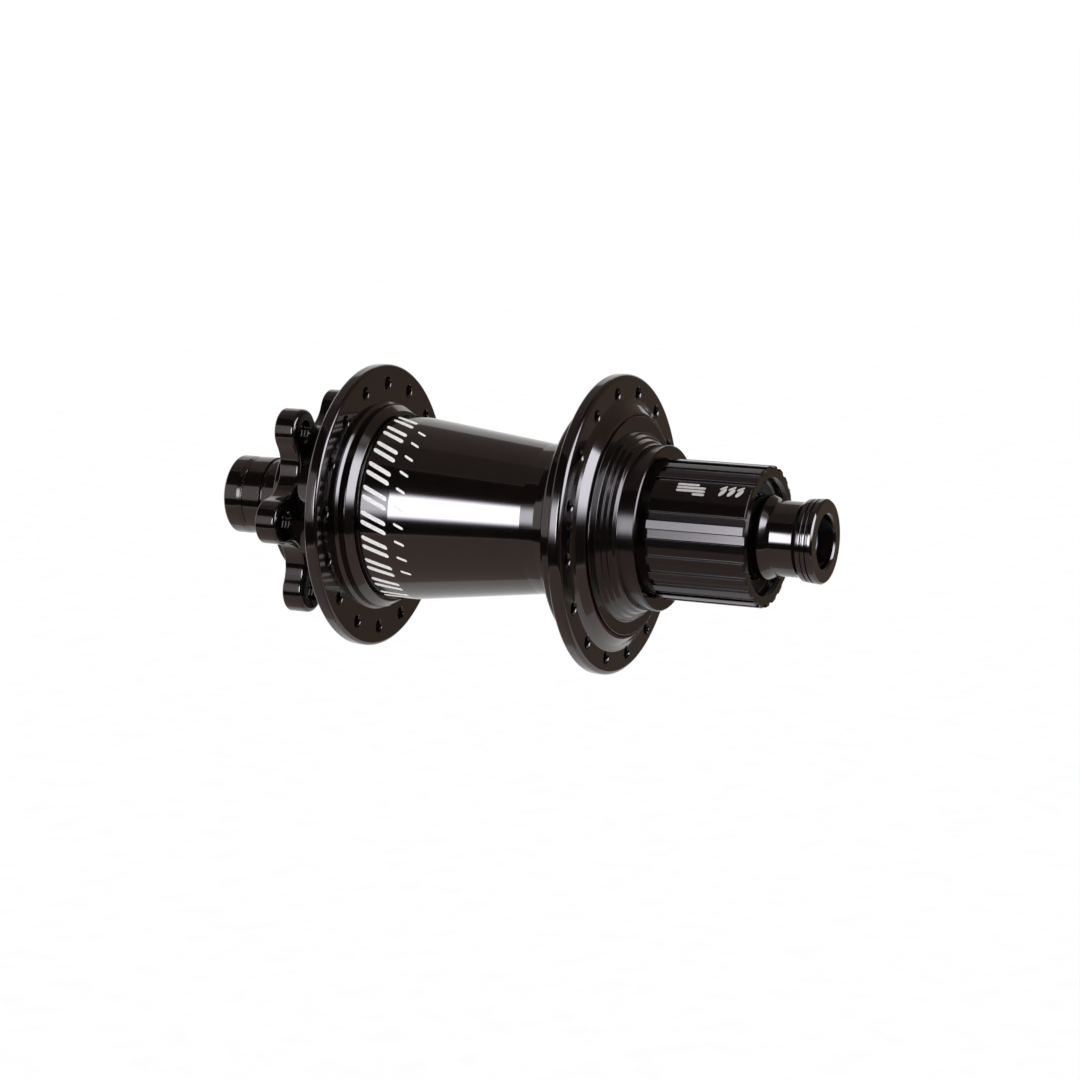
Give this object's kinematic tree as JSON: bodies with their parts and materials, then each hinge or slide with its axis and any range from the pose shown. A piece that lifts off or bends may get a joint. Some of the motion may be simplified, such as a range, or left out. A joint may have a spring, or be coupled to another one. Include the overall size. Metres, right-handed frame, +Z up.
{
  "type": "bicycle rear hub",
  "caption": "Black rear bicycle hub with two spoke flanges, splined freehub body, lobed disc brake mount and hollow axle with end caps.",
  "frame": {"origin": "middle of the hub on its axis, halfway between the two end faces", "axes": "+Y along the hub's axis towards the disc brake side, +X the way the bicycle rides, +Z up"},
  "size_m": [0.0684, 0.148, 0.0684],
  "materials": {
    "black_anodised": "glossy black anodised",
    "raw_aluminium": "machined",
    "bearing_steel": "ground",
    "hardened_steel": "hardened",
    "spring_steel": "blued",
    "balls_and_cage": "polished",
    "black_rubber": "matte",
    "red_rubber": "satin"
  },
  "bodies": {
    "axle": {"axle_tube": "raw_aluminium", "end_cap_drive": "black_anodised", "end_cap_disc": "black_anodised", "spacer_in_freehub": "raw_aluminium", "spacer_behind_freehub": "raw_aluminium", "shell_bearing_drive_inner_ring": "bearing_steel", "shell_bearing_disc_inner_ring": "bearing_steel", "freehub_bearing_outer_inner_ring": "bearing_steel", "freehub_bearing_inner_inner_ring": "bearing_steel"},
    "shell": {"hub_shell": "black_anodised", "drive_ring": "hardened_steel", "disc_seal": "black_rubber", "shell_bearing_drive_outer_ring": "bearing_steel", "shell_bearing_disc_outer_ring": "bearing_steel"},
    "freehub": {"freehub_body": "black_anodised", "freehub_lip_seal": "red_rubber", "freehub_end_seal": "black_rubber", "freehub_bearing_outer_outer_ring": "bearing_steel", "freehub_bearing_inner_outer_ring": "bearing_steel", "pawl_spring_1": "spring_steel", "pawl_spring_2": "spring_steel", "pawl_spring_3": "spring_steel", "pawl_spring_4": "spring_steel", "pawl_spring_5": "spring_steel", "pawl_spring_6": "spring_steel"},
    "pawl_1": {"pawl_1": "hardened_steel"},
    "pawl_2": {"pawl_2": "hardened_steel"},
    "pawl_3": {"pawl_3": "hardened_steel"},
    "pawl_4": {"pawl_4": "hardened_steel"},
    "pawl_5": {"pawl_5": "hardened_steel"},
    "pawl_6": {"pawl_6": "hardened_steel"},
    "shell_balls_drive": {"shell_bearing_drive_balls_and_cage": "balls_and_cage"},
    "shell_balls_disc": {"shell_bearing_disc_balls_and_cage": "balls_and_cage"},
    "freehub_balls_outer": {"freehub_bearing_outer_balls_and_cage": "balls_and_cage"},
    "freehub_balls_inner": {"freehub_bearing_inner_balls_and_cage": "balls_and_cage"}
  },
  "joints": [
    {"name": "shell_spin", "type": "hinge", "parent": "axle", "child": "shell", "pos_m": [0, 0, 0], "axis": [0, 1, 0], "continuous": true},
    {"name": "freehub_spin", "type": "hinge", "parent": "axle", "child": "freehub", "pos_m": [0, -0.044, 0], "axis": [0, 1, 0], "continuous": true},
    {"name": "pawl_1_engage", "type": "hinge", "parent": "freehub", "child": "pawl_1", "pos_m": [-0.01763, -0.0224, 0.00311], "axis": [0, -1, 0], "range_deg": [0, 12], "stiffness_Nm_per_rad": 0.02, "springref_deg": 23.49},
    {"name": "pawl_2_engage", "type": "hinge", "parent": "freehub", "child": "pawl_2", "pos_m": [-0.00612, -0.0224, 0.01682], "axis": [0, -1, 0], "range_deg": [0, 12], "stiffness_Nm_per_rad": 0.02, "springref_deg": 23.49},
    {"name": "pawl_3_engage", "type": "hinge", "parent": "freehub", "child": "pawl_3", "pos_m": [0.01151, -0.0224, 0.01371], "axis": [0, -1, 0], "range_deg": [0, 12], "stiffness_Nm_per_rad": 0.02, "springref_deg": 23.49},
    {"name": "pawl_4_engage", "type": "hinge", "parent": "freehub", "child": "pawl_4", "pos_m": [0.01763, -0.0224, -0.00311], "axis": [0, -1, 0], "range_deg": [0, 12], "stiffness_Nm_per_rad": 0.02, "springref_deg": 23.49},
    {"name": "pawl_5_engage", "type": "hinge", "parent": "freehub", "child": "pawl_5", "pos_m": [0.00612, -0.0224, -0.01682], "axis": [0, -1, 0], "range_deg": [0, 12], "stiffness_Nm_per_rad": 0.02, "springref_deg": 23.49},
    {"name": "pawl_6_engage", "type": "hinge", "parent": "freehub", "child": "pawl_6", "pos_m": [-0.01151, -0.0224, -0.01371], "axis": [0, -1, 0], "range_deg": [0, 12], "stiffness_Nm_per_rad": 0.02, "springref_deg": 23.49},
    {"name": "shell_balls_drive_roll", "type": "hinge", "parent": "axle", "child": "shell_balls_drive", "pos_m": [0, -0.0135, 0], "axis": [0, 1, 0], "continuous": true},
    {"name": "shell_balls_disc_roll", "type": "hinge", "parent": "axle", "child": "shell_balls_disc", "pos_m": [0, 0.0512, 0], "axis": [0, 1, 0], "continuous": true},
    {"name": "freehub_balls_outer_roll", "type": "hinge", "parent": "axle", "child": "freehub_balls_outer", "pos_m": [0, -0.0545, 0], "axis": [0, 1, 0], "continuous": true},
    {"name": "freehub_balls_inner_roll", "type": "hinge", "parent": "axle", "child": "freehub_balls_inner", "pos_m": [0, -0.031, 0], "axis": [0, 1, 0], "continuous": true}
  ],
  "couplings": [
    {"joint": "pawl_2_engage", "follows": "pawl_1_engage", "ratio": 1},
    {"joint": "pawl_3_engage", "follows": "pawl_1_engage", "ratio": 1},
    {"joint": "pawl_4_engage", "follows": "pawl_1_engage", "ratio": 1},
    {"joint": "pawl_5_engage", "follows": "pawl_1_engage", "ratio": 1},
    {"joint": "pawl_6_engage", "follows": "pawl_1_engage", "ratio": 1},
    {"joint": "shell_balls_drive_roll", "follows": "shell_spin", "ratio": 0.593},
    {"joint": "shell_balls_disc_roll", "follows": "shell_spin", "ratio": 0.593},
    {"joint": "freehub_balls_outer_roll", "follows": "freehub_spin", "ratio": 0.566},
    {"joint": "freehub_balls_inner_roll", "follows": "freehub_spin", "ratio": 0.566}
  ]
}
